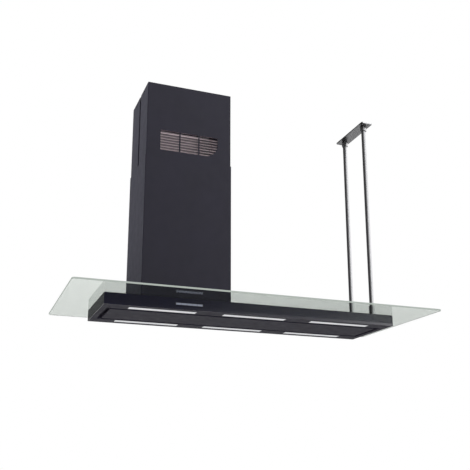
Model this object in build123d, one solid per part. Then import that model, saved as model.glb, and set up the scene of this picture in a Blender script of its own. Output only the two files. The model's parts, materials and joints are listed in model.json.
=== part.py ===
from build123d import *
import os
from math import cos, radians, sin

# Island range hood with a glass canopy, an off-centre telescopic chimney and two hanging rods.
# Row frame: origin at the centre of the canopy's underside, +X along the canopy, -Y towards
# the control strip, +Z up to the ceiling. All lengths are in millimetres.

# ---- driving dimensions -------------------------------------------------------------------
BODY_LENGTH = 1130.0
BODY_DEPTH = 320.0
BODY_HEIGHT = 41.0
CASING_SHEET = 1.5
PRESSED_SHEET = 1.2
BEND_RADIUS = 2.0

GLASS_LENGTH = 1390.0
GLASS_DEPTH = 600.0
GLASS_THICKNESS = 6.0
GLASS_CORNER_RADIUS = 12.0
GLASS_EDGE_CHAMFER = 0.8
SEAL_THICKNESS = 1.0

CEILING_Z = 880.0
CHIMNEY_X = -262.5
LOWER_COVER_LENGTH = 336.0
LOWER_COVER_DEPTH = 254.0
LOWER_COVER_TOP = 582.0
UPPER_COVER_LENGTH = 332.0
UPPER_COVER_DEPTH = 250.0
UPPER_COVER_BOTTOM = 430.0
COVER_SLOT_WIDTH = 18.0
RETURN_FLANGE = 10.0
MOVING_GAP = 0.3

ROD_X = 521.0
ROD_OFFSET_Y = 81.5
ROD_RADIUS = 9.0
COLLAR_RADIUS = 11.5
COLLAR_TOP = 98.0

GROOVE_WIDTH = 15.5
PANEL_LENGTH = 1056.0
PANEL_DEPTH = 164.0
LEDGE_Z = 13.0
LEDGE_END_X = 519.0
LEDGE_FRONT_Y = -82.0
LEDGE_REAR_Y = 72.0

LED_LENGTH = 245.0
LED_WIDTH = 29.0
LED_PITCH = 348.5
LED_ROW_Y = 119.2
LED_CORNER_RADIUS = 1.5
LED_COLUMNS = {"left": -1, "middle": 0, "right": 1}
LED_ROWS = {"front": -1, "rear": 1}

DUCT_RADIUS = 75.0

# ---- levels that follow from them; CUT_LOW to CUT_HIGH spans the top plate, base and glass -----
TOP_PLATE_TOP = BODY_HEIGHT - CASING_SHEET
TOP_PLATE_BOTTOM = TOP_PLATE_TOP - CASING_SHEET
GLASS_BOTTOM = BODY_HEIGHT + SEAL_THICKNESS
GLASS_TOP = GLASS_BOTTOM + GLASS_THICKNESS
LEDGE_TOP = LEDGE_Z + PRESSED_SHEET
SIDES = (-1, 1)
CUT_LOW = 30.0
CUT_HIGH = 52.0
CORNERS = [(sx, sy) for sx in SIDES for sy in SIDES]


# ---- helpers ------------------------------------------------------------------------------
def block(x0, x1, y0, y1, z0, z1):
    """A box between two opposite corners."""
    centre = ((x0 + x1) / 2, (y0 + y1) / 2, (z0 + z1) / 2)
    return Pos(*centre) * Box(abs(x1 - x0), abs(y1 - y0), abs(z1 - z0))


def slab(length, depth, z0, z1, radius=0.0, x=0.0, y=0.0):
    """A flat rectangular slab about (x, y), with rounded vertical corners if radius is given."""
    outline = RectangleRounded(length, depth, radius) if radius else Rectangle(length, depth)
    return extrude(Pos(x, y, z0) * outline, z1 - z0)


def ring(length, depth, wall, z0, z1, radius=0.0, x=0.0, y=0.0):
    """A rectangular tube standing on z0, with its walls wall thick."""
    inner_radius = max(radius - wall, 0.0)
    outer = slab(length, depth, z0, z1, radius, x, y)
    return outer - slab(length - 2 * wall, depth - 2 * wall, z0 - 1, z1 + 1, inner_radius, x, y)


def rod_z(radius, z0, z1, x=0.0, y=0.0):
    """A round bar along Z."""
    return extrude(Pos(x, y, z0) * Circle(radius), z1 - z0)


def rod_x(radius, x0, x1, y, z):
    """A round bar along X."""
    return Pos((x0 + x1) / 2, y, z) * Rot(0, 90, 0) * Cylinder(radius, abs(x1 - x0))


def rod_y(radius, y0, y1, x, z):
    """A round bar along Y."""
    return Pos(x, (y0 + y1) / 2, z) * Rot(90, 0, 0) * Cylinder(radius, abs(y1 - y0))


def tube_z(outer, inner, z0, z1, x=0.0, y=0.0):
    """A round tube along Z."""
    return rod_z(outer, z0, z1, x, y) - rod_z(inner, z0 - 1, z1 + 1, x, y)


def hexagon_z(across_flats, z0, z1, x=0.0, y=0.0):
    """A hexagonal prism along Z."""
    return extrude(Pos(x, y, z0) * RegularPolygon(across_flats / 2, 6, major_radius=False), z1 - z0)


def group(solids):
    """Separate solids kept together as one node."""
    return Compound(children=[shape.solid() for shape in solids])


# ---- canopy body --------------------------------------------------------------------------
LENS_RECESS = 0.2
LENS_TOP = 2.8
LENS_LIP = (7.0, 4.0)
HOUSING_GAP = 1.6
LED_HOUSING_TOP = 15.0
EMITTER_COUNT = 12
EMITTER_PITCH = 19.0
EMITTER_SIZE = 5.0
LED_BOARD_WIDTH = 20.0
BOARD_THICKNESS = 1.6
DRIVER_SIZE = (180.0, 40.0)
DRIVER_TABS = (200.0, 16.0)
DRIVER_TOP = 35.0
AIR_OPENING = (250.0, 170.0)
AIR_OPENING_RADIUS = 6.0
TOP_FLANGE = 14.0
CONTROL_Z = 20.0
BUTTON_COUNT = 5
BUTTON_SIZE = (18.4, 6.0)
BUTTON_PITCH = 19.6
BEZEL_SIZE = (104.0, 10.0)
ROD_STUD_RADIUS = 6.0
FRAME_FLANGE = 10.0
FRONT_Y = -BODY_DEPTH / 2


def canopy_casing():
    """Folded outer casing: four walls and a top flange, with the control strip's window."""
    casing = slab(BODY_LENGTH, BODY_DEPTH, 0, BODY_HEIGHT, BEND_RADIUS)
    inner_length = BODY_LENGTH - 2 * CASING_SHEET
    inner_depth = BODY_DEPTH - 2 * CASING_SHEET
    casing -= slab(inner_length, inner_depth, -1, TOP_PLATE_TOP, BEND_RADIUS - CASING_SHEET)
    casing -= slab(BODY_LENGTH - 2 * TOP_FLANGE, BODY_DEPTH - 2 * TOP_FLANGE, CUT_LOW, CUT_HIGH)
    half_length, half_height = BEZEL_SIZE[0] / 2, BEZEL_SIZE[1] / 2
    casing -= block(
        CHIMNEY_X - half_length, CHIMNEY_X + half_length, FRONT_Y - 1, FRONT_Y + 3,
        CONTROL_Z - half_height, CONTROL_Z + half_height,
    )
    return casing


def top_plate():
    """Plate under the casing's top flange that carries the blower, the frame and the rods."""
    length = BODY_LENGTH - 2 * (CASING_SHEET + MOVING_GAP)
    depth = BODY_DEPTH - 2 * (CASING_SHEET + MOVING_GAP)
    plate = slab(length, depth, TOP_PLATE_BOTTOM, TOP_PLATE_TOP)
    plate -= slab(*AIR_OPENING, CUT_LOW, CUT_HIGH, AIR_OPENING_RADIUS, CHIMNEY_X)
    for side in SIDES:
        hole = ROD_STUD_RADIUS + MOVING_GAP
        plate -= rod_z(hole, CUT_LOW, CUT_HIGH, ROD_X, side * ROD_OFFSET_Y)
    return plate


def underside_frame():
    """Pressed frame flush with the casing: light windows, suction groove and filter ledge."""
    outer_length = BODY_LENGTH - 2 * CASING_SHEET
    outer_depth = BODY_DEPTH - 2 * CASING_SHEET
    groove_length = PANEL_LENGTH + 2 * GROOVE_WIDTH
    groove_depth = PANEL_DEPTH + 2 * GROOVE_WIDTH
    lip_length = groove_length + 2 * PRESSED_SHEET
    lip_depth = groove_depth + 2 * PRESSED_SHEET
    outer_radius = BEND_RADIUS - CASING_SHEET
    frame = slab(outer_length, outer_depth, 0, PRESSED_SHEET, outer_radius)
    frame += ring(outer_length, outer_depth, PRESSED_SHEET, 0, FRAME_FLANGE, outer_radius)
    frame += slab(lip_length, lip_depth, 0, LEDGE_TOP)
    frame -= slab(groove_length, groove_depth, -1, LEDGE_Z)
    frame -= block(-LEDGE_END_X, LEDGE_END_X, LEDGE_FRONT_Y, LEDGE_REAR_Y, LEDGE_Z - 1, LEDGE_TOP + 1)
    for x, y in led_places():
        frame -= slab(LED_LENGTH, LED_WIDTH, -1, PRESSED_SHEET + 1, LED_CORNER_RADIUS, x, y)
    for side in SIDES:
        frame += hinge_bracket(side)
    return frame


def led_places():
    """Centres of the six light windows."""
    return [(cx * LED_PITCH, cy * LED_ROW_Y) for cy in LED_ROWS.values() for cx in LED_COLUMNS.values()]


def led_diffuser(x, y):
    """Opal lens with a flange that rests on the frame from inside."""
    length, width = LED_LENGTH - 2 * MOVING_GAP, LED_WIDTH - 2 * MOVING_GAP
    lens = slab(length, width, LENS_RECESS, PRESSED_SHEET + 0.2, LED_CORNER_RADIUS - MOVING_GAP, x, y)
    flange_length, flange_width = LED_LENGTH + LENS_LIP[0], LED_WIDTH + LENS_LIP[1]
    return lens + slab(flange_length, flange_width, PRESSED_SHEET, LENS_TOP, LED_CORNER_RADIUS, x, y)


def led_housings():
    """Six aluminium channels over the lenses."""
    channels = []
    inner_length = LED_LENGTH + LENS_LIP[0] + HOUSING_GAP
    inner_width = LED_WIDTH + LENS_LIP[1] + 2 * MOVING_GAP
    inner_top = LED_HOUSING_TOP - PRESSED_SHEET
    for x, y in led_places():
        length, width = inner_length + 2 * PRESSED_SHEET, inner_width + 2 * PRESSED_SHEET
        channel = slab(length, width, PRESSED_SHEET, LED_HOUSING_TOP, 0, x, y)
        channels.append(channel - slab(inner_length, inner_width, 0, inner_top, 0, x, y))
    return group(channels)


def led_boards():
    """Six light boards, each a strip with a row of emitters facing down."""
    boards = []
    board_top = LED_HOUSING_TOP - PRESSED_SHEET
    for x, y in led_places():
        board_bottom = board_top - BOARD_THICKNESS
        board = slab(LED_LENGTH - 5, LED_BOARD_WIDTH, board_bottom, board_top, 0, x, y)
        for index in range(EMITTER_COUNT):
            emitter_x = x + (index - (EMITTER_COUNT - 1) / 2) * EMITTER_PITCH
            board += slab(EMITTER_SIZE, EMITTER_SIZE, board_bottom - 0.8, board_top, 0, emitter_x, y)
        boards.append(board)
    return group(boards)


def led_driver():
    """Power supply for the lights, resting on the rear right channel."""
    case = slab(*DRIVER_SIZE, LED_HOUSING_TOP, DRIVER_TOP, 2, LED_PITCH, LED_ROW_Y)
    tabs = slab(*DRIVER_TABS, LED_HOUSING_TOP, LED_HOUSING_TOP + 2, 0, LED_PITCH, LED_ROW_Y)
    return case + tabs


# ---- controls -----------------------------------------------------------------------------
BEZEL_BACK = FRONT_Y + 8.0
BEZEL_LIP = 4.0
BUTTON_PROUD = 0.9
BUTTON_TRAVEL = 1.2
BUTTON_FLANGE_GAP = 0.4
CONTROL_BOARD_HALF = (60.0, 11.0)
SWITCH_HALF = 3.0
SWITCH_DEPTH = 3.0
BOARD_POST = (56.0, 6.5)


def button_places():
    """Centres of the push buttons along the control strip."""
    middle = (BUTTON_COUNT - 1) / 2
    return [CHIMNEY_X + (index - middle) * BUTTON_PITCH for index in range(BUTTON_COUNT)]


def control_bezel():
    """Black frame set flush in the casing's front wall, with one window for each button."""
    half_length, half_height = BEZEL_SIZE[0] / 2, BEZEL_SIZE[1] / 2
    bezel = block(
        CHIMNEY_X - half_length, CHIMNEY_X + half_length, FRONT_Y, BEZEL_BACK,
        CONTROL_Z - half_height, CONTROL_Z + half_height,
    )
    wall_inside = FRONT_Y + CASING_SHEET
    lip_length, lip_height = half_length + BEZEL_LIP, half_height + BEZEL_LIP
    bezel += block(
        CHIMNEY_X - lip_length, CHIMNEY_X + lip_length, wall_inside, wall_inside + CASING_SHEET,
        CONTROL_Z - lip_height, CONTROL_Z + lip_height,
    )
    window_x = BUTTON_SIZE[0] / 2 + MOVING_GAP
    window_z = BUTTON_SIZE[1] / 2 + MOVING_GAP
    for x in button_places():
        bezel -= block(
            x - window_x, x + window_x, FRONT_Y - 1, BEZEL_BACK + 1,
            CONTROL_Z - window_z, CONTROL_Z + window_z,
        )
    return bezel


def push_button(x):
    """Slim key with a lit face and a flange behind the bezel that keeps it in."""
    half_length, half_height = BUTTON_SIZE[0] / 2, BUTTON_SIZE[1] / 2
    key = block(
        x - half_length, x + half_length, FRONT_Y - BUTTON_PROUD, BEZEL_BACK + 1,
        CONTROL_Z - half_height, CONTROL_Z + half_height,
    )
    front_edges = key.faces().sort_by(Axis.Y)[0].edges()
    key = fillet(front_edges, 0.4)
    flange_front = BEZEL_BACK + BUTTON_FLANGE_GAP
    return key + block(
        x - half_length, x + half_length, flange_front, flange_front + PRESSED_SHEET,
        CONTROL_Z - half_height - 1.3, CONTROL_Z + half_height + 1.3,
    )


def control_board():
    """Circuit board with one switch behind each button."""
    switch_front = BEZEL_BACK + BUTTON_FLANGE_GAP + PRESSED_SHEET + BUTTON_TRAVEL + MOVING_GAP
    board_front = switch_front + SWITCH_DEPTH
    half_length, half_height = CONTROL_BOARD_HALF
    board = block(
        CHIMNEY_X - half_length, CHIMNEY_X + half_length, board_front, board_front + BOARD_THICKNESS,
        CONTROL_Z - half_height, CONTROL_Z + half_height,
    )
    for x in button_places():
        board += block(
            x - SWITCH_HALF, x + SWITCH_HALF, switch_front, board_front,
            CONTROL_Z - SWITCH_HALF, CONTROL_Z + SWITCH_HALF,
        )
    for side in SIDES:
        post_x, post_z = CHIMNEY_X + side * BOARD_POST[0], CONTROL_Z + BOARD_POST[1]
        board += rod_y(2.5, FRONT_Y + 2 * CASING_SHEET, board_front, post_x, post_z)
    return board


# ---- suction panel and grease filters -----------------------------------------------------
HINGE_Y = 79.5
HINGE_Z = 9.0
HINGE_X = 480.0
HINGE_PIN_RADIUS = 2.0
HINGE_EAR_RADIUS = 3.3
PANEL_FLANGE = 5.0
MAGNET_X = (519.5, 526.5)
MAGNET_Y = (-72.0, -52.0)


def suction_panel():
    """Shallow tray that closes the underside, with an ear at each hinge."""
    panel = slab(PANEL_LENGTH, PANEL_DEPTH, 0, PRESSED_SHEET)
    panel += ring(PANEL_LENGTH, PANEL_DEPTH, PRESSED_SHEET, 0, PANEL_FLANGE)
    panel_rear = PANEL_DEPTH / 2
    for side in SIDES:
        ear_inner, ear_outer = side * (HINGE_X + 1.6), side * (HINGE_X + 4.6)
        low, high = sorted((ear_inner, ear_outer))
        ear = block(low, high, HINGE_Y - HINGE_EAR_RADIUS, panel_rear, 0.5, HINGE_Z)
        ear += rod_x(HINGE_EAR_RADIUS, low, high, HINGE_Y, HINGE_Z)
        panel += ear
        panel -= rod_x(HINGE_PIN_RADIUS, low - 1, high + 1, HINGE_Y, HINGE_Z)
    return panel


def panel_hinge_pins():
    """Two pins pressed into the panel's ears."""
    pins = []
    for side in SIDES:
        low, high = sorted((side * (HINGE_X - 4), side * (HINGE_X + 5.6)))
        pins.append(rod_x(HINGE_PIN_RADIUS, low, high, HINGE_Y, HINGE_Z))
    return group(pins)


def hinge_bracket(side):
    """Bracket welded under the filter ledge, with a running bore for a hinge pin."""
    bore = HINGE_PIN_RADIUS + 0.05
    eye = bore + 1.65
    low, high = sorted((side * (HINGE_X - 2), side * (HINGE_X + 1)))
    foot_low, foot_high = sorted((side * (HINGE_X - 16), side * (HINGE_X + 1)))
    bracket = block(foot_low, foot_high, HINGE_Y - eye, HINGE_Y + 14, LEDGE_Z - 1, LEDGE_Z)
    bracket += block(low, high, HINGE_Y - eye, HINGE_Y + eye, HINGE_Z, LEDGE_Z)
    bracket += rod_x(eye, low, high, HINGE_Y, HINGE_Z)
    return bracket - rod_x(bore, low - 1, high + 1, HINGE_Y, HINGE_Z)


def panel_magnets():
    """Two magnet blocks on the panel that hold it up against the ledge."""
    magnets = []
    for side in SIDES:
        low, high = sorted((side * MAGNET_X[0], side * MAGNET_X[1]))
        magnets.append(block(low, high, *MAGNET_Y, PRESSED_SHEET, LEDGE_Z - MOVING_GAP))
    return group(magnets)


FILTER_INNER_X = 1.0
FILTER_OUTER_X = 517.0
FILTER_FRONT_Y = -80.0
FILTER_REAR_Y = 80.0
FILTER_TOP = 22.2
FILTER_BAR = 12.0
FILTER_FRONT_BAR = 30.0
LATCH_TRAVEL = 6.5
LATCH_HALF_WIDTH = 20.0
LATCH_TIP_Y = -88.0
LATCH_BACK_Y = -60.0
LATCH_GRIP = (-71.0, -66.0)
LATCH_GRIP_HALF = 14.0
LATCH_GRIP_BOTTOM = 8.0
MESH_RIB_COUNT = 11
MESH_RIB_HALF = 2.5


def filter_span(side):
    """Low and high X of one filter."""
    return sorted((side * FILTER_INNER_X, side * FILTER_OUTER_X))


def filter_frame(side):
    """Cassette frame with a pocket for the latch in its front bar."""
    low, high = filter_span(side)
    frame = block(low, high, FILTER_FRONT_Y, FILTER_REAR_Y, LEDGE_TOP, FILTER_TOP)
    frame -= block(
        low + FILTER_BAR, high - FILTER_BAR, FILTER_FRONT_Y + FILTER_FRONT_BAR,
        FILTER_REAR_Y - FILTER_BAR, LEDGE_Z, FILTER_TOP + 1,
    )
    middle = (low + high) / 2
    reach = LATCH_HALF_WIDTH + 0.4
    pocket_back = LATCH_BACK_Y + LATCH_TRAVEL + 0.9
    pocket_top = LEDGE_TOP + 3.2
    frame -= block(middle - reach, middle + reach, FILTER_FRONT_Y - 1, pocket_back, LEDGE_Z, pocket_top)
    return frame


def filter_mesh(side):
    """Layered aluminium mesh pack, pressed into corrugations."""
    low, high = filter_span(side)
    front, rear = FILTER_FRONT_Y + FILTER_FRONT_BAR, FILTER_REAR_Y - FILTER_BAR
    low, high = low + FILTER_BAR, high - FILTER_BAR
    mesh = block(low, high, front, rear, LEDGE_TOP + 2.2, FILTER_TOP - 1.6)
    rib_pitch = (rear - front) / MESH_RIB_COUNT
    for index in range(MESH_RIB_COUNT):
        rib_y = front + (index + 0.5) * rib_pitch
        mesh += block(
            low, high, rib_y - MESH_RIB_HALF, rib_y + MESH_RIB_HALF, LEDGE_TOP + 0.8, FILTER_TOP - 0.4
        )
    return mesh


def filter_latch(side):
    """Sliding bolt over the front ledge, with a finger grip below."""
    low, high = filter_span(side)
    middle = (low + high) / 2
    bottom, top = LEDGE_TOP + 0.4, LEDGE_TOP + 2.8
    bolt = block(middle - LATCH_HALF_WIDTH, middle + LATCH_HALF_WIDTH, LATCH_TIP_Y, LATCH_BACK_Y, bottom, top)
    left, right = middle - LATCH_GRIP_HALF, middle + LATCH_GRIP_HALF
    return bolt + block(left, right, *LATCH_GRIP, LATCH_GRIP_BOTTOM, bottom + 0.5)


# ---- glass canopy and hanging rods --------------------------------------------------------
GLASS_CUTOUT = (312.0, 226.0)
GLASS_CUTOUT_RADIUS = 12.0
SEAL_WIDTH = 11.0
STUD_BOTTOM = 26.0
PLUG_HEIGHT = 20.0
NUT_ACROSS_FLATS = 19.0
NUT_LEVELS = (27.0, 35.0)
NUT_FLANGE_RADIUS = 14.0
ROD_HOLE_RADIUS = 10.0


def glass_canopy():
    """Tempered glass with polished edges, a cut-out for the blower and two rod holes."""
    glass = slab(GLASS_LENGTH, GLASS_DEPTH, GLASS_BOTTOM, GLASS_TOP, GLASS_CORNER_RADIUS)
    rims = glass.faces().sort_by(Axis.Z)[0].edges() + glass.faces().sort_by(Axis.Z)[-1].edges()
    glass = chamfer(rims, GLASS_EDGE_CHAMFER)
    glass -= slab(*GLASS_CUTOUT, CUT_LOW, CUT_HIGH, GLASS_CUTOUT_RADIUS, CHIMNEY_X)
    for side in SIDES:
        glass -= rod_z(ROD_HOLE_RADIUS, GLASS_BOTTOM - 1, GLASS_TOP + 1, ROD_X, side * ROD_OFFSET_Y)
    return glass


def glass_seal():
    """Soft gasket between the casing's top flange and the glass."""
    return ring(BODY_LENGTH - 4, BODY_DEPTH - 4, SEAL_WIDTH, BODY_HEIGHT, GLASS_BOTTOM)


def hanging_rod(side):
    """Polished tube with a threaded stud at its foot."""
    y = side * ROD_OFFSET_Y
    tube = tube_z(ROD_RADIUS, ROD_RADIUS - 1.5, TOP_PLATE_TOP, CEILING_Z - ROD_PLATE_THICKNESS, ROD_X, y)
    tube += rod_z(ROD_RADIUS - 1, TOP_PLATE_TOP, TOP_PLATE_TOP + PLUG_HEIGHT, ROD_X, y)
    return tube + rod_z(ROD_STUD_RADIUS, STUD_BOTTOM, TOP_PLATE_TOP + 1, ROD_X, y)


def rod_collars():
    """Two sleeves that clamp the glass round the rods."""
    collars = []
    for side in SIDES:
        y = side * ROD_OFFSET_Y
        collar = rod_z(COLLAR_RADIUS, GLASS_TOP, COLLAR_TOP, ROD_X, y)
        collar = chamfer(collar.faces().sort_by(Axis.Z)[-1].edges(), 1.2)
        collars.append(collar - rod_z(ROD_RADIUS + 0.05, GLASS_TOP - 1, COLLAR_TOP + 1, ROD_X, y))
    return group(collars)


def rod_grommets():
    """Two soft sleeves between the rods and the glass."""
    return group([
        tube_z(ROD_HOLE_RADIUS - 0.1, ROD_RADIUS + 0.1, GLASS_BOTTOM, GLASS_TOP, ROD_X, side * ROD_OFFSET_Y)
        for side in SIDES
    ])


def rod_nuts():
    """Flanged nuts under the top plate that carry the canopy on the rods."""
    nuts = []
    for side in SIDES:
        y = side * ROD_OFFSET_Y
        nut = hexagon_z(NUT_ACROSS_FLATS, *NUT_LEVELS, ROD_X, y)
        nut += rod_z(NUT_FLANGE_RADIUS, NUT_LEVELS[1], TOP_PLATE_BOTTOM, ROD_X, y)
        nuts.append(nut - rod_z(ROD_STUD_RADIUS + 0.05, STUD_BOTTOM, TOP_PLATE_TOP, ROD_X, y))
    return group(nuts)


ROD_PLATE_SIZE = (50.0, 230.0)
ROD_PLATE_HOLES = (28.0, 204.0)
ROD_PLATE_HOLE_RADIUS = 3.5
ROD_PLATE_THICKNESS = 5.0
SOCKET_RADIUS = 13.0
SOCKET_DEPTH = 22.0


def rod_ceiling_plate():
    """Ceiling plate with a socket for each rod and four screw holes."""
    bottom = CEILING_Z - ROD_PLATE_THICKNESS
    plate = slab(*ROD_PLATE_SIZE, bottom, CEILING_Z, 6, ROD_X)
    for side in SIDES:
        y = side * ROD_OFFSET_Y
        plate += tube_z(SOCKET_RADIUS, ROD_RADIUS + 0.05, bottom - SOCKET_DEPTH, bottom, ROD_X, y)
    for sx, sy in CORNERS:
        hole_x, hole_y = ROD_X + sx * ROD_PLATE_HOLES[0] / 2, sy * ROD_PLATE_HOLES[1] / 2
        plate -= rod_z(ROD_PLATE_HOLE_RADIUS, bottom - 1, CEILING_Z + 1, hole_x, hole_y)
    return plate


# ---- chimney covers -----------------------------------------------------------------------
LOWER_COVER_BOTTOM = GLASS_TOP + MOVING_GAP
GRILLE_LENGTH = 226.0
GRILLE_BOTTOM = 610.0
SLAT_PITCH = 10.7
SLAT_COUNT = 7
GRILLE_TOP = GRILLE_BOTTOM + SLAT_PITCH * (SLAT_COUNT + 0.5)
GRILLE_CORNER_RADIUS = 52.0
GRILLE_BAR = 5.0
GRILLE_FRAME = 7.0
GRILLE_FRAME_DEPTH = 3.0
SLAT_WIDTH = 15.0
SLAT_LEAN = 35.0
CLIP_LEVELS = (120.0, 250.0, 380.0)
CLIP_HEIGHT = 16.0
CLIP_REACH = 6.0
CLIP_HALF_DEPTH = 2.7
COVER_SCREW_Z = CEILING_Z - 12.0
COVER_SCREW_Y = 60.0
BRACKET_FLANGE = 18.0


def half_cover(length, depth, z0, z1, flange_top, side, gap):
    """U-shaped half of a rectangular cover, with return flanges along its two open edges."""
    sheet = PRESSED_SHEET
    whole = ring(length, depth, sheet, z0, z1, BEND_RADIUS, CHIMNEY_X)
    near, far = side * gap, side * (depth / 2 + 1)
    reach = length / 2 + 1
    low, high = sorted((near, far))
    cover = whole & block(CHIMNEY_X - reach, CHIMNEY_X + reach, low, high, z0 - 1, z1 + 1)
    flange_low, flange_high = sorted((near, near + side * sheet))
    inner = length / 2 - sheet
    for end in SIDES:
        x0, x1 = sorted((CHIMNEY_X + end * (inner + 0.5), CHIMNEY_X + end * (inner - RETURN_FLANGE)))
        cover += block(x0, x1, flange_low, flange_high, z0, flange_top)
    return cover


def lower_cover(side):
    """Half of the lower chimney cover, which slides up over the upper one."""
    return half_cover(
        LOWER_COVER_LENGTH, LOWER_COVER_DEPTH, LOWER_COVER_BOTTOM, LOWER_COVER_TOP,
        LOWER_COVER_TOP, side, 0.0,
    )


def lower_cover_clips():
    """Spring clips that join the lower halves along their return flanges."""
    clips = []
    tip = LOWER_COVER_LENGTH / 2 - PRESSED_SHEET - RETURN_FLANGE
    outer, inner = tip + CLIP_REACH, tip - 1.5
    for end in SIDES:
        for z in CLIP_LEVELS:
            x0, x1 = sorted((CHIMNEY_X + end * inner, CHIMNEY_X + end * outer))
            clip = block(x0, x1, -CLIP_HALF_DEPTH, CLIP_HALF_DEPTH, z, z + CLIP_HEIGHT)
            slot0, slot1 = sorted((CHIMNEY_X + end * tip, CHIMNEY_X + end * (outer + 1)))
            slot_top = z + CLIP_HEIGHT + 1
            clips.append(clip - block(slot0, slot1, -PRESSED_SHEET, PRESSED_SHEET, z - 1, slot_top))
    return group(clips)


def grille_outline():
    """Outline of the vent: a rectangle with its lower outer corner cut to a large arc."""
    left, right = -GRILLE_LENGTH / 2, GRILLE_LENGTH / 2
    radius = GRILLE_CORNER_RADIUS
    bend = radius * (1 - cos(radians(45)))
    outline = Polyline((right, GRILLE_BOTTOM + radius), (right, GRILLE_TOP), (left, GRILLE_TOP),
                       (left, GRILLE_BOTTOM), (right - radius, GRILLE_BOTTOM))
    corner = ThreePointArc((right - radius, GRILLE_BOTTOM), (right - bend, GRILLE_BOTTOM + bend),
                           (right, GRILLE_BOTTOM + radius))
    return make_face(outline.edges() + corner.edges())


def vent_opening(side, thickness, start):
    """Solid in the shape of the vent's outline, mirrored for the rear cover."""
    turn = 0 if side < 0 else 180
    stand = Plane(origin=(0, 0, 0), x_dir=(1, 0, 0), z_dir=(0, -1, 0))
    prism = extrude(stand * grille_outline(), thickness)
    prism = Pos(0, -start, 0) * prism
    return Pos(CHIMNEY_X, 0, 0) * Rot(0, 0, turn) * prism


def upper_cover(side):
    """Half of the upper chimney cover, with a three-part vent near the ceiling."""
    cover = half_cover(
        UPPER_COVER_LENGTH, UPPER_COVER_DEPTH, UPPER_COVER_BOTTOM, CEILING_Z,
        CEILING_Z - BRACKET_FLANGE - MOVING_GAP, side, COVER_SLOT_WIDTH / 2,
    )
    window = vent_opening(side, 10, UPPER_COVER_DEPTH / 2 - 5)
    for third in (-1, 1):
        bar_x = CHIMNEY_X + third * GRILLE_LENGTH / 6
        left, right = bar_x - GRILLE_BAR / 2, bar_x + GRILLE_BAR / 2
        window -= block(left, right, -UPPER_COVER_DEPTH, UPPER_COVER_DEPTH, UPPER_COVER_BOTTOM, CEILING_Z)
    cover -= window
    for end in SIDES:
        inside, outside = UPPER_COVER_LENGTH / 2 - 5, UPPER_COVER_LENGTH / 2 + 5
        x0, x1 = CHIMNEY_X + end * inside, CHIMNEY_X + end * outside
        cover -= rod_x(2.2, x0, x1, side * COVER_SCREW_Y, COVER_SCREW_Z)
    return cover


def vent_grille(side):
    """Aluminium louvre behind the vent: a frame with slats that lean inward and overlap."""
    front = -UPPER_COVER_DEPTH / 2 + PRESSED_SHEET
    middle_z = (GRILLE_BOTTOM + GRILLE_TOP) / 2
    height = GRILLE_TOP - GRILLE_BOTTOM
    plate = Box(GRILLE_LENGTH + 2 * GRILLE_FRAME, GRILLE_FRAME_DEPTH, height + 2 * GRILLE_FRAME)
    plate -= Box(GRILLE_LENGTH, 2 * GRILLE_FRAME_DEPTH, height)
    grille = Pos(0, front + GRILLE_FRAME_DEPTH / 2, middle_z) * plate
    slat = Rot(-SLAT_LEAN, 0, 0) * Box(GRILLE_LENGTH + GRILLE_FRAME, PRESSED_SHEET, SLAT_WIDTH)
    slat_y = front + PRESSED_SHEET + SLAT_WIDTH / 2 * sin(radians(SLAT_LEAN))
    for index in range(SLAT_COUNT):
        grille += Pos(0, slat_y, GRILLE_BOTTOM + (index + 0.75) * SLAT_PITCH) * slat
    turn = 0 if side < 0 else 180
    return Pos(CHIMNEY_X, 0, 0) * Rot(0, 0, turn) * grille


# ---- support frame ------------------------------------------------------------------------
POST_X = 150.0
POST_Y = 107.0
POST_LEG = 25.0
POST_SHEET = 2.0
BASE_THICKNESS = 3.0
BASE_TOP = TOP_PLATE_TOP + BASE_THICKNESS
LOWER_POST_TOP = 420.0
UPPER_POST_BOTTOM = 300.0
BRACKET_THICKNESS = 3.0
BRACKET_HOLES = (200.0, 224.0)
BRACKET_HOLE_RADIUS = 4.0
BRACKET_OPENING = (230.0, 172.0)
BASE_SIZE = (304.0, 218.0)
BASE_RIM = 4.0
JOINT_LEVELS = (340.0, 390.0)
JOINT_Y = 95.0
JOINT_HOLE_RADIUS = 3.1
BOLT_RADIUS = 3.0
BOLT_HEAD_RADIUS = 5.0
BOLT_HEAD_HEIGHT = 4.0
SCREW_RADIUS = 1.85
SCREW_HEAD_RADIUS = 4.0
SCREW_HEAD_HEIGHT = 2.0


def angle_post(sx, sy, x, y, leg, z0, z1):
    """L-section post with its corner at (x, y) on the given quarter of the frame."""
    post = block(CHIMNEY_X + sx * x, CHIMNEY_X + sx * (x - leg), sy * y, sy * (y - POST_SHEET), z0, z1)
    return post + block(
        CHIMNEY_X + sx * x, CHIMNEY_X + sx * (x - POST_SHEET), sy * y, sy * (y - leg), z0, z1
    )


def joint_bolt_holes(sx, sy):
    """Bars through both posts of one corner where the frame's bolts go."""
    x0, x1 = sorted((CHIMNEY_X + sx * (POST_X + 5), CHIMNEY_X + sx * (POST_X - 12)))
    return [rod_x(JOINT_HOLE_RADIUS, x0, x1, sy * JOINT_Y, z) for z in JOINT_LEVELS]


def posts(inset, leg, z0, z1):
    """Four corner posts, moved in from the outermost corner by inset."""
    solids = []
    for sx, sy in CORNERS:
        post = angle_post(sx, sy, POST_X - inset, POST_Y - inset, leg, z0, z1)
        for hole in joint_bolt_holes(sx, sy):
            post -= hole
        solids.append(post)
    return group(solids)


def frame_base():
    """Flat ring that joins the lower posts and carries the air box."""
    base = slab(*BASE_SIZE, TOP_PLATE_TOP, BASE_TOP, 4, CHIMNEY_X)
    length, depth = AIR_OPENING[0] + BASE_RIM, AIR_OPENING[1] + BASE_RIM
    return base - slab(length, depth, CUT_LOW, CUT_HIGH, AIR_OPENING_RADIUS + 2, CHIMNEY_X)


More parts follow.
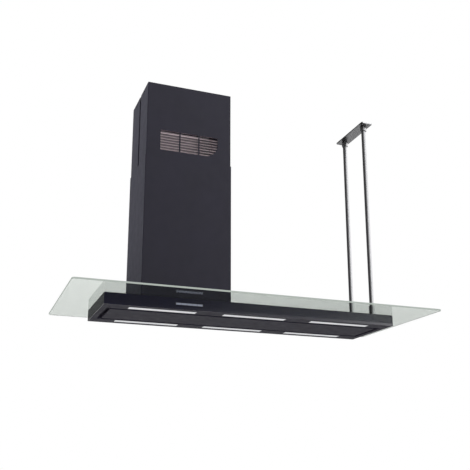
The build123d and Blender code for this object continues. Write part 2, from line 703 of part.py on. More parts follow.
def ceiling_bracket():
    """Ring screwed to the ceiling, with a turned-down flange for the upper cover."""
    length = UPPER_COVER_LENGTH - 2 * PRESSED_SHEET
    depth = UPPER_COVER_DEPTH - 2 * PRESSED_SHEET
    bottom = CEILING_Z - BRACKET_THICKNESS
    corner = BEND_RADIUS - PRESSED_SHEET
    bracket = slab(length, depth, bottom, CEILING_Z, corner, CHIMNEY_X)
    flange_bottom = CEILING_Z - BRACKET_FLANGE
    bracket += ring(length, depth, POST_SHEET, flange_bottom, CEILING_Z, corner, CHIMNEY_X)
    bracket -= slab(*BRACKET_OPENING, flange_bottom, CEILING_Z + 5, 8, CHIMNEY_X)
    for sx, sy in CORNERS:
        hole_x, hole_y = CHIMNEY_X + sx * BRACKET_HOLES[0] / 2, sy * BRACKET_HOLES[1] / 2
        bracket -= rod_z(BRACKET_HOLE_RADIUS, bottom - 1, CEILING_Z + 1, hole_x, hole_y)
        x0, x1 = CHIMNEY_X + sx * (length / 2 - 5), CHIMNEY_X + sx * (length / 2 + 5)
        bracket -= rod_x(SCREW_RADIUS + 0.05, x0, x1, sy * COVER_SCREW_Y, COVER_SCREW_Z)
    return bracket


def frame_bolts():
    """Bolts and nuts that set the height of the frame."""
    bolts = []
    for sx, sy in CORNERS:
        for z in JOINT_LEVELS:
            y = sy * JOINT_Y
            outside = CHIMNEY_X + sx * POST_X
            inside = CHIMNEY_X + sx * (POST_X - 2 * POST_SHEET - 0.5)
            shank = rod_x(BOLT_RADIUS, inside - sx, outside + sx, y, z)
            head = rod_x(BOLT_HEAD_RADIUS, outside, outside + sx * BOLT_HEAD_HEIGHT, y, z)
            nut = rod_x(BOLT_HEAD_RADIUS, inside, inside - sx * BOLT_HEAD_HEIGHT, y, z)
            bolts.append(shank + head + nut)
    return group(bolts)


def cover_screws():
    """Pan-head screws that hold the upper covers to the ceiling bracket."""
    screws = []
    for sx, sy in CORNERS:
        outside = CHIMNEY_X + sx * UPPER_COVER_LENGTH / 2
        shank = rod_x(SCREW_RADIUS, outside - sx * 9, outside + sx * 0.5, sy * COVER_SCREW_Y, COVER_SCREW_Z)
        head_end = outside + sx * SCREW_HEAD_HEIGHT
        head = rod_x(SCREW_HEAD_RADIUS, outside, head_end, sy * COVER_SCREW_Y, COVER_SCREW_Z)
        screws.append(shank + head)
    return group(screws)


# ---- blower -------------------------------------------------------------------------------
AIR_BOX_HALF_X = 140.0
AIR_BOX_HALF_Y = 100.0
AIR_BOX_TOP = 330.0
SCROLL_HALF_WIDTH = 55.0
SCROLL_SHEET = 1.5
SCROLL_Y = -6.0
SCROLL_Z = 142.0
SCROLL_TOP = 285.0
SPIRAL_START_RADIUS = 72.0
SPIRAL_GROWTH = 8.0
INLET_RADIUS = 50.0
IMPELLER_RADIUS = 64.0
IMPELLER_HALF_WIDTH = 48.0
BLADE_COUNT = 30
SHAFT_RADIUS = 4.0
SHAFT_SPAN = (-84.0, 16.0)
HUB_RADIUS = 12.0
HUB_SPAN = (-6.0, 14.0)
RING_WIDTH = 10.0
BLADE_SIZE = (9.0, 1.2)
BLADE_TILT = 28.0
MOTOR_RADIUS = 40.0
MOTOR_SPAN = (-76.0, -12.0)
BEARING_RADIUS = 14.0
BEARING_SPAN = (-80.0, -9.0)
SPIDER_X = -79.0
COLLAR_TUBE_TOP = 410.0
COLLAR_WALL = 1.5
COLLAR_FLANGE = 14.0
FLAP_Z = 338.6
FLAP_AXIS_Y = 4.0
FLAP_SHAFT_RADIUS = 1.5
FLAP_THICKNESS = 1.2


def air_box():
    """Sheet-metal box round the blower, open at the bottom, with the outlet in its top."""
    length, depth = 2 * AIR_BOX_HALF_X, 2 * AIR_BOX_HALF_Y
    box = slab(length, depth, BASE_TOP, AIR_BOX_TOP, 3, CHIMNEY_X)
    inner_length, inner_depth = length - 2 * PRESSED_SHEET, depth - 2 * PRESSED_SHEET
    box -= slab(inner_length, inner_depth, BASE_TOP - 1, AIR_BOX_TOP - PRESSED_SHEET, 1.8, CHIMNEY_X)
    return box - rod_z(DUCT_RADIUS - COLLAR_WALL, AIR_BOX_TOP - 5, AIR_BOX_TOP + 5, CHIMNEY_X)


def spiral_face(margin):
    """Scroll outline: three growing quarter arcs and an upward outlet, shrunk by margin."""
    centre_y, centre_z = SCROLL_Y, SCROLL_Z
    radius = SPIRAL_START_RADIUS - margin
    angle = 90
    edges = []
    point = (centre_y + radius * cos(radians(angle)), centre_z + radius * sin(radians(angle)))
    start = point
    for quarter in range(3):
        if quarter:
            centre_y -= SPIRAL_GROWTH * cos(radians(angle))
            centre_z -= SPIRAL_GROWTH * sin(radians(angle))
            radius += SPIRAL_GROWTH
        middle = (centre_y + radius * cos(radians(angle + 45)), centre_z + radius * sin(radians(angle + 45)))
        angle += 90
        end = (centre_y + radius * cos(radians(angle)), centre_z + radius * sin(radians(angle)))
        edges.append(ThreePointArc(point, middle, end))
        point = end
    wall_y = start[0] + margin
    outlet = Polyline(point, (point[0], SCROLL_TOP), (wall_y, SCROLL_TOP), (wall_y, start[1]))
    edges += outlet.edges()
    if margin:
        edges.append(Line((wall_y, start[1]), start))
    return make_face(edges)


def scroll_prism(margin, half_width):
    """The scroll outline extruded along the shaft."""
    upright = Plane(origin=(CHIMNEY_X - half_width, 0, 0), x_dir=(0, 1, 0), z_dir=(1, 0, 0))
    return extrude(upright * spiral_face(margin), 2 * half_width)


def outlet_duct():
    """Duct from the volute's rectangular outlet to the round hole of the air box."""
    low, high = SCROLL_Y, SCROLL_Y + SPIRAL_START_RADIUS + 3 * SPIRAL_GROWTH
    shells = []
    for shrink in (0.0, SCROLL_SHEET):
        foot_outline = Rectangle(2 * (SCROLL_HALF_WIDTH - shrink), high - low - 2 * shrink)
        foot = Pos(CHIMNEY_X, (low + high) / 2, SCROLL_TOP) * foot_outline
        head = Pos(CHIMNEY_X, 0, AIR_BOX_TOP - PRESSED_SHEET) * Circle(DUCT_RADIUS - COLLAR_WALL - shrink)
        shells.append(loft([foot, head]))
    return shells[0] - shells[1]


def blower_scroll():
    """Volute with an inlet on each side and a duct up from its outlet."""
    scroll = scroll_prism(0, SCROLL_HALF_WIDTH)
    scroll -= scroll_prism(SCROLL_SHEET, SCROLL_HALF_WIDTH - SCROLL_SHEET)
    inlet_reach = SCROLL_HALF_WIDTH + 15
    scroll -= rod_x(INLET_RADIUS, CHIMNEY_X - inlet_reach, CHIMNEY_X + inlet_reach, SCROLL_Y, SCROLL_Z)
    return scroll + outlet_duct()


def on_shaft(radius, x0, x1):
    """A disc or bar on the shaft's axis, between two distances from the chimney's middle."""
    return rod_x(radius, CHIMNEY_X + x0, CHIMNEY_X + x1, SCROLL_Y, SCROLL_Z)


def impeller():
    """Double-inlet wheel: centre disc, hub, blades and two end rings."""
    wheel = on_shaft(IMPELLER_RADIUS, -1, 1)
    wheel += on_shaft(HUB_RADIUS, *HUB_SPAN)
    for side in SIDES:
        x0, x1 = sorted((side * IMPELLER_HALF_WIDTH, side * (IMPELLER_HALF_WIDTH - 2)))
        wheel += on_shaft(IMPELLER_RADIUS, x0, x1) - on_shaft(IMPELLER_RADIUS - RING_WIDTH, x0 - 1, x1 + 1)
    blade = Rot(BLADE_TILT, 0, 0) * Box(2 * IMPELLER_HALF_WIDTH - 1, *BLADE_SIZE)
    blade = Pos(0, IMPELLER_RADIUS - 5.2, 0) * blade
    blades = [Rot(index * 360 / BLADE_COUNT, 0, 0) * blade for index in range(BLADE_COUNT)]
    wheel += [Pos(CHIMNEY_X, SCROLL_Y, SCROLL_Z) * one for one in blades]
    return wheel - on_shaft(SHAFT_RADIUS, -SCROLL_HALF_WIDTH, SCROLL_HALF_WIDTH)


def motor_shaft():
    """Steel shaft pressed into the wheel's hub."""
    return on_shaft(SHAFT_RADIUS, *SHAFT_SPAN)


def blower_motor():
    """Motor inside the left inlet, with a running bore for the shaft."""
    motor = on_shaft(MOTOR_RADIUS, *MOTOR_SPAN) + on_shaft(BEARING_RADIUS, *BEARING_SPAN)
    return motor - on_shaft(SHAFT_RADIUS + 0.05, SHAFT_SPAN[0], 0)


def motor_bracket():
    """Three-armed spider that holds the motor on the scroll's side."""
    spider = Box(2, 60, 60) - Rot(0, 90, 0) * Cylinder(BEARING_RADIUS + 0.2, 10)
    for index in range(3):
        arm = Pos(0, 42, 0) * Box(2, 50, 12)
        foot = Pos(12.5, 64, 0) * Box(23, 6, 12)
        spider += Rot(index * 120 + 90, 0, 0) * (arm + foot)
    return Pos(CHIMNEY_X + SPIDER_X, SCROLL_Y, SCROLL_Z) * spider


def outlet_collar():
    """Round spigot for the duct, with a flange below and a stop ring for the flaps."""
    inner = DUCT_RADIUS - COLLAR_WALL
    collar = tube_z(DUCT_RADIUS, inner, AIR_BOX_TOP, COLLAR_TUBE_TOP, CHIMNEY_X)
    collar += tube_z(DUCT_RADIUS + COLLAR_FLANGE, inner, AIR_BOX_TOP, AIR_BOX_TOP + 2, CHIMNEY_X)
    stop_top = FLAP_Z - FLAP_THICKNESS / 2 - MOVING_GAP
    collar += tube_z(inner + 0.5, inner - 4.5, stop_top - 1.5, stop_top, CHIMNEY_X)
    for side in SIDES:
        reach = DUCT_RADIUS + 2
        axis_y = side * FLAP_AXIS_Y
        collar -= rod_x(FLAP_SHAFT_RADIUS + 0.05, CHIMNEY_X - reach, CHIMNEY_X + reach, axis_y, FLAP_Z)
    return collar


def damper_flap(side):
    """Half-round backdraft flap with its shaft along the straight edge."""
    radius = DUCT_RADIUS - COLLAR_WALL - 0.9
    half = FLAP_THICKNESS / 2
    disc = rod_z(radius, FLAP_Z - half, FLAP_Z + half, CHIMNEY_X)
    low, high = sorted((side * FLAP_AXIS_Y, side * DUCT_RADIUS))
    half_disc = block(CHIMNEY_X - DUCT_RADIUS, CHIMNEY_X + DUCT_RADIUS, low, high, FLAP_Z - 5, FLAP_Z + 5)
    flap = disc & half_disc
    reach = DUCT_RADIUS - 0.4
    return flap + rod_x(FLAP_SHAFT_RADIUS, CHIMNEY_X - reach, CHIMNEY_X + reach, side * FLAP_AXIS_Y, FLAP_Z)


BOX_FRONT_Y = -AIR_BOX_HALF_Y - 19.0
BOX_HALF_LENGTH = 60.0
BOX_WALL = 2.0
BOX_LEVELS = (180.0, 280.0)
GLAND_X = CHIMNEY_X + 30.0
GLAND_Y = -AIR_BOX_HALF_Y - 9.5
GLAND_THREAD_RADIUS = 6.0
GLAND_TOP = 296.0


def terminal_box():
    """Mains terminal box on the front of the air box."""
    bottom, top = BOX_LEVELS
    left, right = CHIMNEY_X - BOX_HALF_LENGTH, CHIMNEY_X + BOX_HALF_LENGTH
    box = block(left, right, BOX_FRONT_Y, -AIR_BOX_HALF_Y, bottom, top)
    box -= block(
        left + BOX_WALL, right - BOX_WALL, BOX_FRONT_Y + BOX_WALL, 1 - AIR_BOX_HALF_Y,
        bottom + BOX_WALL, top - BOX_WALL,
    )
    return box - rod_z(GLAND_THREAD_RADIUS, top - 5, top + 5, GLAND_X, GLAND_Y)


def cable_gland():
    """Cable gland in the top of the terminal box."""
    box_top = BOX_LEVELS[1]
    gland = rod_z(GLAND_THREAD_RADIUS - 0.05, box_top - 4, box_top + 1, GLAND_X, GLAND_Y)
    gland += hexagon_z(16, box_top, box_top + 5, GLAND_X, GLAND_Y)
    gland += rod_z(7.5, box_top + 5, GLAND_TOP, GLAND_X, GLAND_Y)
    return gland - rod_z(4, box_top - 10, GLAND_TOP + 1, GLAND_X, GLAND_Y)


# ---- assembly -----------------------------------------------------------------------------
def build_nodes():
    """Every separate piece by its name."""
    nodes = {
        "canopy_casing": canopy_casing(),
        "top_plate": top_plate(),
        "underside_frame": underside_frame(),
        "led_housings": led_housings(),
        "led_boards": led_boards(),
        "led_driver": led_driver(),
        "control_bezel": control_bezel(),
        "control_board": control_board(),
        "suction_panel": suction_panel(),
        "panel_hinge_pins": panel_hinge_pins(),
        "panel_magnets": panel_magnets(),
        "glass_canopy": glass_canopy(),
        "glass_seal": glass_seal(),
        "rod_collars": rod_collars(),
        "rod_grommets": rod_grommets(),
        "rod_nuts": rod_nuts(),
        "rod_ceiling_plate": rod_ceiling_plate(),
        "lower_cover_clips": lower_cover_clips(),
        "frame_base": frame_base(),
        "lower_posts": posts(0.0, POST_LEG, BASE_TOP, LOWER_POST_TOP),
        "upper_posts": posts(
            POST_SHEET + MOVING_GAP, POST_LEG - 3, UPPER_POST_BOTTOM, CEILING_Z - BRACKET_THICKNESS
        ),
        "ceiling_bracket": ceiling_bracket(),
        "frame_bolts": frame_bolts(),
        "cover_screws": cover_screws(),
        "air_box": air_box(),
        "blower_scroll": blower_scroll(),
        "impeller": impeller(),
        "motor_shaft": motor_shaft(),
        "blower_motor": blower_motor(),
        "motor_bracket": motor_bracket(),
        "outlet_collar": outlet_collar(),
        "terminal_box": terminal_box(),
        "cable_gland": cable_gland(),
    }
    for row, sy in LED_ROWS.items():
        for column, sx in LED_COLUMNS.items():
            nodes[f"led_diffuser_{row}_{column}"] = led_diffuser(sx * LED_PITCH, sy * LED_ROW_Y)
    for index, x in enumerate(button_places(), 1):
        nodes[f"push_button_{index}"] = push_button(x)
    for name, side in (("left", -1), ("right", 1)):
        nodes[f"filter_frame_{name}"] = filter_frame(side)
        nodes[f"filter_mesh_{name}"] = filter_mesh(side)
        nodes[f"filter_latch_{name}"] = filter_latch(side)
    for name, side in (("front", -1), ("rear", 1)):
        nodes[f"rod_{name}"] = hanging_rod(side)
        nodes[f"lower_cover_{name}"] = lower_cover(side)
        nodes[f"upper_cover_{name}"] = upper_cover(side)
        nodes[f"vent_grille_{name}"] = vent_grille(side)
        nodes[f"damper_flap_{name}"] = damper_flap(side)
    return nodes


def main():
    """Write one STEP file for each piece."""
    os.makedirs("parts", exist_ok=True)
    for name, solid in build_nodes().items():
        export_step(solid, f"parts/{name}.step")


main()
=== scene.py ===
import json
from math import pi, radians

import bpy
from mathutils import Euler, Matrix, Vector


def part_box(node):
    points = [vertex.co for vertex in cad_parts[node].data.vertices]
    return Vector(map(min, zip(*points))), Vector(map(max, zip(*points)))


# Looks of the island range hood: materials, edge rounding, floor, surroundings and camera.
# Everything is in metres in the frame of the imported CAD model.

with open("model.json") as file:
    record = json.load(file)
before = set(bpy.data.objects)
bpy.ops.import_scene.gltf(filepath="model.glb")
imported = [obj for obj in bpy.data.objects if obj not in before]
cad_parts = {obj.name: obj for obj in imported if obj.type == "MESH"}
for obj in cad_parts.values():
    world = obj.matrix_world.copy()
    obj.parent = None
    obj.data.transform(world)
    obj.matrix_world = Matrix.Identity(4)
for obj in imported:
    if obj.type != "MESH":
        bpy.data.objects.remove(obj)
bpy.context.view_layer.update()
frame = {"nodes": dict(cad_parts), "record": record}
NODES = frame["nodes"]
RECORD = frame["record"]
MM = 0.001

# ---- colours (linear RGB) -------------------------------------------------------------------
ANTHRACITE = (0.007, 0.0055, 0.018)
# Painted light: the covers' satin paint, painted paler for the underside.
UNDERSIDE_PAINTED_LIGHT = (0.031, 0.028, 0.046)
GLOSS_BLACK = (0.008, 0.0075, 0.021)
SOFT_BLACK = (0.012, 0.012, 0.013)
GLASS_TINT = (0.90, 0.96, 0.91)
GLASS_EDGE = (0.46, 0.51, 0.47)
ZINC = (0.50, 0.51, 0.53)
ALUMINIUM = (0.74, 0.73, 0.74)
LOUVRE_LIGHT = (0.85, 0.72, 0.76)
# Painted shade: the dark stripes of the vent slats.
LOUVRE_PAINTED_SHADE = (0.31, 0.25, 0.28)
STEEL = (0.50, 0.50, 0.51)
FASTENER_STEEL = (0.55, 0.55, 0.57)
CAST_ALUMINIUM = (0.42, 0.43, 0.45)
DUSTY_BLUE = (0.82, 0.82, 1.00)
LENS_WHITE = (0.93, 0.94, 0.97)
KEY_BLUE = (0.40, 0.43, 0.54)
BOARD_GREEN = (0.02, 0.13, 0.05)
WHITE = (1.0, 1.0, 1.0)
BLACK = (0.0, 0.0, 0.0)


# ---- material helpers -----------------------------------------------------------------------
def fill_ramp(color_ramp, stops):
    """Set a colour ramp to (position, grey or RGB) stops."""
    while len(color_ramp.elements) < len(stops):
        color_ramp.elements.new(0.5)
    for element, (position, colour) in zip(color_ramp.elements, stops):
        rgb = colour if isinstance(colour, tuple) else (colour,) * 3
        element.position = position
        element.color = (*rgb, 1.0)


def mix_in_mirrors(tree, colour, mirrored):
    """The first colour, but the second for rays that come off a mirror.

    Each is a node's output or an RGB value.
    """
    rays = tree.nodes.new("ShaderNodeLightPath")
    mix = tree.nodes.new("ShaderNodeMix")
    mix.data_type = "RGBA"
    tree.links.new(rays.outputs["Glossy Depth"], mix.inputs[0])
    for socket, value in ((mix.inputs[6], colour), (mix.inputs[7], mirrored)):
        if isinstance(value, tuple):
            socket.default_value = (*value, 1.0)
        else:
            tree.links.new(value, socket)
    return mix.outputs[2]


class Paint:
    """One node material, built around a Principled shader."""

    def __init__(self, name, base, roughness, metallic=0.0):
        self.material = bpy.data.materials.new(name)
        self.material.use_nodes = True
        self.tree = self.material.node_tree
        self.shader = self.tree.nodes["Principled BSDF"]
        self.base = base
        self.set("Base Color", (*base, 1.0))
        self.set("Roughness", roughness)
        self.set("Metallic", metallic)
        self.coordinates = self.tree.nodes.new("ShaderNodeTexCoord").outputs["Object"]

    def set(self, socket, value):
        self.shader.inputs[socket].default_value = value

    def link(self, output, socket):
        self.tree.links.new(output, socket)

    def stretched(self, scale):
        """Object coordinates scaled by a number or by (x, y, z)."""
        mapping = self.tree.nodes.new("ShaderNodeMapping")
        mapping.inputs["Scale"].default_value = scale if isinstance(scale, tuple) else (scale,) * 3
        self.link(self.coordinates, mapping.inputs["Vector"])
        return mapping.outputs["Vector"]

    def noise(self, scale, detail=2.0, roughness=0.5):
        node = self.tree.nodes.new("ShaderNodeTexNoise")
        node.inputs["Scale"].default_value = 1.0
        node.inputs["Detail"].default_value = detail
        node.inputs["Roughness"].default_value = roughness
        self.link(self.stretched(scale), node.inputs["Vector"])
        return node.outputs["Fac"]

    def position(self, axis, low, high):
        """Object coordinate along one axis, 0 at low and 1 at high."""
        split = self.tree.nodes.new("ShaderNodeSeparateXYZ")
        self.link(self.coordinates, split.inputs["Vector"])
        spread = self.tree.nodes.new("ShaderNodeMapRange")
        spread.inputs["From Min"].default_value = low
        spread.inputs["From Max"].default_value = high
        self.link(split.outputs[axis], spread.inputs["Value"])
        return spread.outputs["Result"]

    def bands(self, axis, pitch, start):
        """Soft stripes across one axis, 0 at start and at every pitch from it."""
        node = self.tree.nodes.new("ShaderNodeTexWave")
        node.bands_direction = axis
        # At a scale of 1 the texture repeats every pi / 10.
        node.inputs["Scale"].default_value = pi / 10 / pitch
        node.inputs["Phase Offset"].default_value = -2 * pi * start / pitch
        self.link(self.coordinates, node.inputs["Vector"])
        return node.outputs["Fac"]

    def multiply(self, first, second):
        node = self.tree.nodes.new("ShaderNodeMath")
        node.operation = "MULTIPLY"
        self.link(first, node.inputs[0])
        self.link(second, node.inputs[1])
        return node.outputs["Value"]

    def distance(self, full):
        """Distance from the object's origin, 1 at full."""
        length = self.tree.nodes.new("ShaderNodeVectorMath")
        length.operation = "LENGTH"
        self.link(self.stretched(1 / full), length.inputs[0])
        return length.outputs["Value"]

    def cells(self, scale, feature="F1", output="Distance"):
        node = self.tree.nodes.new("ShaderNodeTexVoronoi")
        node.feature = feature
        node.inputs["Scale"].default_value = 1.0
        self.link(self.stretched(scale), node.inputs["Vector"])
        return node.outputs[output]

    def ramp(self, value, stops):
        """Colour along the value, from (position, grey or RGB) stops."""
        node = self.tree.nodes.new("ShaderNodeValToRGB")
        fill_ramp(node.color_ramp, stops)
        self.link(value, node.inputs["Fac"])
        return node.outputs["Color"]

    def tint(self, value, amount):
        """Base colour varied by plus or minus amount with the value."""
        dark = tuple(channel * (1 - amount) for channel in self.base)
        light = tuple(min(channel * (1 + amount), 1.0) for channel in self.base)
        self.link(self.ramp(value, [(0.3, dark), (0.7, light)]), self.shader.inputs["Base Color"])

    def roughen(self, value, low, high):
        self.link(self.ramp(value, [(0.3, low), (0.7, high)]), self.shader.inputs["Roughness"])

    def bump(self, value, strength, distance):
        node = self.tree.nodes.new("ShaderNodeBump")
        node.inputs["Strength"].default_value = strength
        node.inputs["Distance"].default_value = distance
        self.link(value, node.inputs["Height"])
        self.link(node.outputs["Normal"], self.shader.inputs["Normal"])


def powder_coat(name, base, roughness, specular, sheen):
    """Matt powder coat: fine grain, faint cloudiness and, with a sheen, a dusty look at a flat angle."""
    paint = Paint(name, base, roughness)
    paint.set("Specular IOR Level", specular)
    paint.set("Sheen Weight", sheen)
    paint.set("Sheen Tint", (*DUSTY_BLUE, 1.0))
    paint.tint(paint.noise(9.0, 4.0), 0.10)
    paint.roughen(paint.noise(30.0, 3.0), roughness - 0.05, roughness + 0.05)
    paint.bump(paint.noise(2200.0, 2.0), 0.10, 0.0001)
    return paint.material


def gloss_enamel():
    """Glossy baked enamel: blue-black under a smooth clear coat."""
    paint = Paint("gloss_enamel", GLOSS_BLACK, 0.35)
    paint.set("Specular IOR Level", 0.1)
    paint.set("Coat Weight", 1.0)
    paint.set("Coat Roughness", 0.05)
    paint.tint(paint.noise(6.0, 3.0), 0.10)
    paint.roughen(paint.noise(40.0, 3.0), 0.30, 0.40)
    return paint.material


def clear_glass():
    """Tempered glass with a faint green tint."""
    paint = Paint("clear_glass", GLASS_TINT, 0.0)
    paint.set("Transmission Weight", 1.0)
    paint.set("IOR", 1.5)
    paint.tint(paint.noise(3.0, 2.0), 0.012)
    return paint.material


def glass_edge():
    """Ground edge of the glass: opaque, matt and pale green, with faint streaks along it."""
    paint = Paint("glass_edge", GLASS_EDGE, 0.7)
    paint.set("Specular IOR Level", 0.05)
    paint.tint(paint.noise((6.0, 6.0, 900.0), 3.0), 0.08)
    paint.roughen(paint.noise(120.0, 2.0), 0.6, 0.8)
    return paint.material


def metal(name, base, roughness, grain, relief):
    """Bare metal: grain is the noise's scale, as one number or as (x, y, z) for a brushed look."""
    paint = Paint(name, base, roughness, 1.0)
    streaks = paint.noise(grain, 3.0, 0.7)
    paint.tint(streaks, 0.06)
    paint.roughen(streaks, roughness * 0.75, roughness * 1.3)
    paint.bump(streaks, relief, 0.0002)
    return paint.material


def zinc_sheet():
    """Zinc-plated sheet with a crystalline spangle."""
    paint = Paint("zinc_sheet", ZINC, 0.35, 1.0)
    spangle = paint.cells(90.0, output="Color")
    paint.tint(spangle, 0.12)
    paint.roughen(spangle, 0.28, 0.48)
    paint.bump(paint.noise(500.0, 2.0), 0.05, 0.0001)
    return paint.material


def moulded_plastic():
    """Black moulded plastic with a spark-eroded grain."""
    paint = Paint("moulded_plastic", SOFT_BLACK, 0.45)
    paint.tint(paint.noise(25.0, 3.0), 0.2)
    paint.roughen(paint.noise(60.0, 3.0), 0.38, 0.52)
    paint.bump(paint.cells(1500.0), 0.12, 0.0002)
    return paint.material


def soft_rubber():
    """Matt black rubber with a dusty bloom."""
    paint = Paint("soft_rubber", SOFT_BLACK, 0.8)
    paint.tint(paint.noise(40.0, 4.0), 0.3)
    paint.bump(paint.noise(900.0, 2.0), 0.2, 0.0002)
    return paint.material


def lit_lens(name, glow_colour, strength, cloud_scale):
    """Lens that glows a little unevenly, over a dark body with a fine prism texture."""
    paint = Paint(name, tuple(channel * 0.15 for channel in glow_colour), 0.35)
    cloud = paint.noise(cloud_scale, 2.0)
    bright = tuple(min(channel * 1.04, 1.0) for channel in glow_colour)
    dim = tuple(channel * 0.93 for channel in glow_colour)
    glow = paint.ramp(cloud, [(0.3, dim), (0.7, bright)])
    paint.link(glow, paint.shader.inputs["Emission Color"])
    paint.set("Emission Strength", strength)
    paint.bump(paint.cells(1200.0), 0.1, 0.0001)
    return paint.material


def circuit_board():
    """Green solder mask, paler along the tracks."""
    paint = Paint("circuit_board", BOARD_GREEN, 0.35)
    tracks = paint.cells((260.0, 260.0, 60.0), "DISTANCE_TO_EDGE")
    light = tuple(channel * 1.9 for channel in BOARD_GREEN)
    colour = paint.ramp(tracks, [(0.05, light), (0.09, BOARD_GREEN)])
    paint.link(colour, paint.shader.inputs["Base Color"])
    paint.bump(tracks, 0.2, 0.0002)
    return paint.material


SLAT_PITCH = 10.7 * MM
# Height of the lowest painted shade stripe above the bottom of the vent's frame.
FIRST_SHADE_STRIPE = 7.7 * MM


def louvre_sheet_painted_shade():
    """Satin sheet of the vents, with painted shade: darker around the lower edge of each slat, for the
    shade between the slats.
    """
    paint = Paint("louvre_sheet_painted_shade", LOUVRE_LIGHT, 0.40, 0.9)
    grille_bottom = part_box("vent_grille_front")[0].z
    # Painted shade: dark stripes for the shade between the slats.
    shade_stripes = paint.bands("Z", SLAT_PITCH, grille_bottom + FIRST_SHADE_STRIPE)
    colour = paint.ramp(shade_stripes, [(0.2, LOUVRE_PAINTED_SHADE), (0.6, LOUVRE_LIGHT)])
    paint.link(colour, paint.shader.inputs["Base Color"])
    paint.bump(paint.noise((4.0, 700.0, 700.0), 3.0, 0.7), 0.06, 0.0002)
    return paint.material


def motor_casting():
    """Die-cast aluminium with a sandy skin."""
    paint = Paint("motor_casting", CAST_ALUMINIUM, 0.5, 0.9)
    paint.tint(paint.noise(30.0, 4.0), 0.12)
    paint.roughen(paint.noise(90.0, 3.0), 0.42, 0.6)
    paint.bump(paint.noise(1400.0, 3.0), 0.25, 0.0003)
    return paint.material


MATERIALS = {
    "black_gloss_paint": gloss_enamel(),
    "black_satin_paint": powder_coat("cover_paint", ANTHRACITE, 0.50, specular=0.35, sheen=0.20),
    "zinc_plated_steel": zinc_sheet(),
    "galvanised_scroll": zinc_sheet(),
    "clear_glass": clear_glass(),
    "black_rubber": soft_rubber(),
    "polished_steel": metal("polished_steel", STEEL, 0.30, grain=(300.0, 300.0, 3.0), relief=0.03),
    "steel_fasteners": metal("bright_zinc", FASTENER_STEEL, 0.28, grain=400.0, relief=0.08),
    "opal_lens": lit_lens("opal_lens", LENS_WHITE, strength=0.56, cloud_scale=12.0),
    "aluminium_profile": metal("satin_aluminium", ALUMINIUM, 0.38, grain=(4.0, 700.0, 700.0), relief=0.06),
    "aluminium_mesh": metal("filter_aluminium", ALUMINIUM, 0.42, grain=300.0, relief=0.1),
    "circuit_board": circuit_board(),
    "black_plastic": moulded_plastic(),
    "button_lens": lit_lens("button_lens", KEY_BLUE, strength=0.43, cloud_scale=60.0),
    "motor_case": motor_casting(),
}


def dress_cad_nodes():
    """Give every CAD node the material of its slot in the record."""
    for part in RECORD["subparts"]:
        node = NODES[part["node"]]
        node.data.materials.clear()
        node.data.materials.append(MATERIALS[part["material_slot"]])


def dress_underside():
    """Give the underside a copy of the covers' satin paint, without sheen, with a paler base that is
    painted light.
    """
    # Painted light: a paler copy of the covers' paint.
    paint = powder_coat("underside_lit_copy", UNDERSIDE_PAINTED_LIGHT, 0.55, specular=0.25, sheen=0.0)
    for name in ("underside_frame", "suction_panel"):
        NODES[name].data.materials[0] = paint


def dress_vents():
    """Give the vents the sheet with painted shade stripes, in place of the plain aluminium of their slot.
    """
    sheet = louvre_sheet_painted_shade()
    for name in ("vent_grille_front", "vent_grille_rear"):
        NODES[name].data.materials[0] = sheet


# A face of the glass belongs to its top or bottom if its normal is at least this upright.
FLAT_FACE_NORMAL_Z = 0.95


def dress_glass_edges():
    """Give the rims, holes and chamfers of the glass the look of a ground edge."""
    glass = NODES["glass_canopy"].data
    glass.materials.append(glass_edge())
    for face in glass.polygons:
        face.material_index = int(abs(face.normal.z) < FLAT_FACE_NORMAL_Z)


# ---- edge rounding --------------------------------------------------------------------------
SHEET_EDGE = 0.3 * MM
MACHINED_EDGE = 0.6 * MM
SHEET_NODES = (
    "canopy_casing", "underside_frame", "suction_panel", "lower_cover_front", "lower_cover_rear",
    "upper_cover_front", "upper_cover_rear", "vent_grille_front", "vent_grille_rear", "air_box",
    "terminal_box", "ceiling_bracket", "filter_frame_left", "filter_frame_right",
)
MACHINED_NODES = (
    "rod_ceiling_plate", "rod_nuts", "led_driver", "filter_latch_left", "filter_latch_right",
)


def soften_edges(names, width):
    """Round the sharp edges of these CAD nodes with modifiers, so that they catch the light."""
    for name in names:
        merge = NODES[name].modifiers.new("merge_flat_faces", "DECIMATE")
        merge.decimate_type = "DISSOLVE"
        merge.angle_limit = radians(0.5)
        bevel = NODES[name].modifiers.new("round_edges", "BEVEL")
        bevel.width = width
        bevel.segments = 2
        bevel.limit_method = "ANGLE"
        bevel.angle_limit = radians(50)
        bevel.harden_normals = True


# ---- studio ---------------------------------------------------------------------------------
FLOOR_Z = -1.55
FLOOR_HALF = 30.0
FLOOR_GREY = 0.82
# Distance at which the fade into white is measured as 1.
FLOOR_FADE = 25.0
# Stretches of X and Y over which the mirrored floor changes its grey.
MIRRORED_FLOOR_X = (-2.5, 5.0)
MIRRORED_FLOOR_Y = (0.0, 3.0)


def floor_paint():
    """Pale floor that turns into glowing white far away, and is darker in mirrors.

    In mirrors its grey changes over X and Y, tuned so that the reflections in the glass and the
    gloss paint match the photograph from the main view.
    """
    paint = Paint("pale_floor", (FLOOR_GREY,) * 3, 0.9)
    paint.set("Specular IOR Level", 0.1)
    far = paint.distance(FLOOR_FADE)
    grey = paint.ramp(far, [(0.35, FLOOR_GREY), (0.9, 0.0)])
    glow = paint.ramp(far, [(0.35, 0.0), (0.9, 1.0)])
    x = paint.position("X", *MIRRORED_FLOOR_X)
    y = paint.position("Y", *MIRRORED_FLOOR_Y)
    across = paint.ramp(x, [(0.12, 0.12), (0.33, 0.70), (1.0, 0.44)])
    behind = paint.ramp(y, [(0.0, 0.25), (1.0, 1.0)])
    mirrored_grey = paint.multiply(across, behind)
    paint.link(mix_in_mirrors(paint.tree, grey, mirrored_grey), paint.shader.inputs["Base Color"])
    paint.link(mix_in_mirrors(paint.tree, glow, BLACK), paint.shader.inputs["Emission Color"])
    paint.set("Emission Strength", 1.0)
    return paint.material


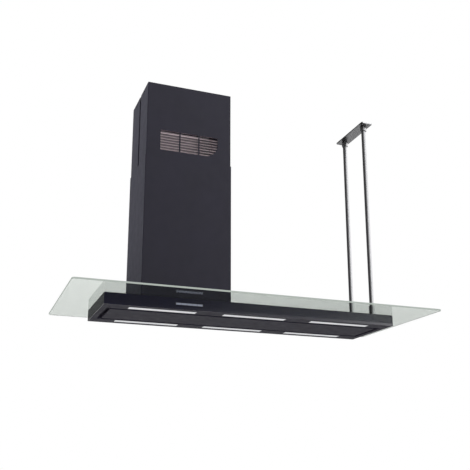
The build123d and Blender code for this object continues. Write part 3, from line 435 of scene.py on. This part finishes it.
def make_floor():
    """Plain pale floor well below the hood."""
    mesh = bpy.data.meshes.new("floor")
    signs = ((-1, -1), (1, -1), (1, 1), (-1, 1))
    corners = [(x * FLOOR_HALF, y * FLOOR_HALF, FLOOR_Z) for x, y in signs]
    mesh.from_pydata(corners, [], [(0, 1, 2, 3)])
    mesh.materials.append(floor_paint())
    floor = bpy.data.objects.new("floor", mesh)
    bpy.context.collection.objects.link(floor)


class Sky:
    """The world's shader nodes, for a brightness that depends on the direction."""

    def __init__(self, world):
        self.tree = world.node_tree
        generated = self.tree.nodes.new("ShaderNodeTexCoord").outputs["Generated"]
        split = self.tree.nodes.new("ShaderNodeSeparateXYZ")
        self.tree.links.new(generated, split.inputs["Vector"])
        self.x, self.y = split.outputs["X"], split.outputs["Y"]

    def math(self, operation, first, second):
        node = self.tree.nodes.new("ShaderNodeMath")
        node.operation = operation
        for socket, value in zip(node.inputs, (first, second)):
            if isinstance(value, float):
                socket.default_value = value
            else:
                self.tree.links.new(value, socket)
        return node.outputs["Value"]

    def ramp(self, value, stops):
        """Grey along the value, from (position, grey) stops, with soft steps."""
        node = self.tree.nodes.new("ShaderNodeValToRGB")
        node.color_ramp.interpolation = "EASE"
        fill_ramp(node.color_ramp, stops)
        self.tree.links.new(value, node.inputs["Fac"])
        return node.outputs["Color"]

    def turn(self):
        """Compass angle as 0 to 1: 0.5 is +Y, 0.75 is +X, 0 and 1 are -Y."""
        angle = self.math("ARCTAN2", self.x, self.y)
        return self.math("ADD", self.math("DIVIDE", angle, 2 * pi), 0.5)


# What mirrors see of the surroundings, as (turn, grey) stops, tuned to the photograph's reflections.
MIRRORED_STUDIO = [
    # in front, light
    (0.00, 1.00), (0.04, 0.90),
    # on the left, dark
    (0.08, 0.08), (0.30, 0.05), (0.44, 0.05),
    # behind, brighter towards the right
    (0.50, 0.20), (0.56, 0.80),
    # on the right, bright
    (0.70, 1.50), (0.88, 1.50),
    # in front on the right: a strong strip, a dark gap, and light again
    (0.905, 3.20), (0.93, 1.15),
    (0.958, 0.20), (0.974, 0.12),
    (0.988, 0.90), (1.00, 1.00),
]


def make_world():
    """White surroundings; mirrors see a studio with a bright right side and a dark left."""
    world = bpy.data.worlds.new("studio")
    bpy.context.scene.world = world
    world.use_nodes = True
    sky = Sky(world)
    studio = sky.ramp(sky.turn(), MIRRORED_STUDIO)
    background = sky.tree.nodes["Background"].inputs["Color"]
    sky.tree.links.new(mix_in_mirrors(sky.tree, WHITE, studio), background)


CAMERA_PLACE = (-1.0156, -2.6384, -0.5632)
CAMERA_TILT_UP = radians(15.15)
CAMERA_TURN_RIGHT = radians(20.45)


def make_camera():
    """Camera low in front of the hood's left end, looking up at its underside."""
    data = bpy.data.cameras.new("camera")
    data.lens = 57.56
    data.sensor_width = 36.0
    data.shift_y = 0.08
    data.clip_end = 100.0
    camera = bpy.data.objects.new("camera", data)
    bpy.context.collection.objects.link(camera)
    camera.location = CAMERA_PLACE
    camera.rotation_euler = Euler((pi / 2 + CAMERA_TILT_UP, 0, -CAMERA_TURN_RIGHT), "XYZ")
    bpy.context.scene.camera = camera


dress_cad_nodes()
dress_underside()
dress_vents()
dress_glass_edges()
soften_edges(SHEET_NODES, SHEET_EDGE)
soften_edges(MACHINED_NODES, MACHINED_EDGE)
make_floor()
make_world()
make_camera()
bpy.context.scene.view_settings.view_transform = "Standard"
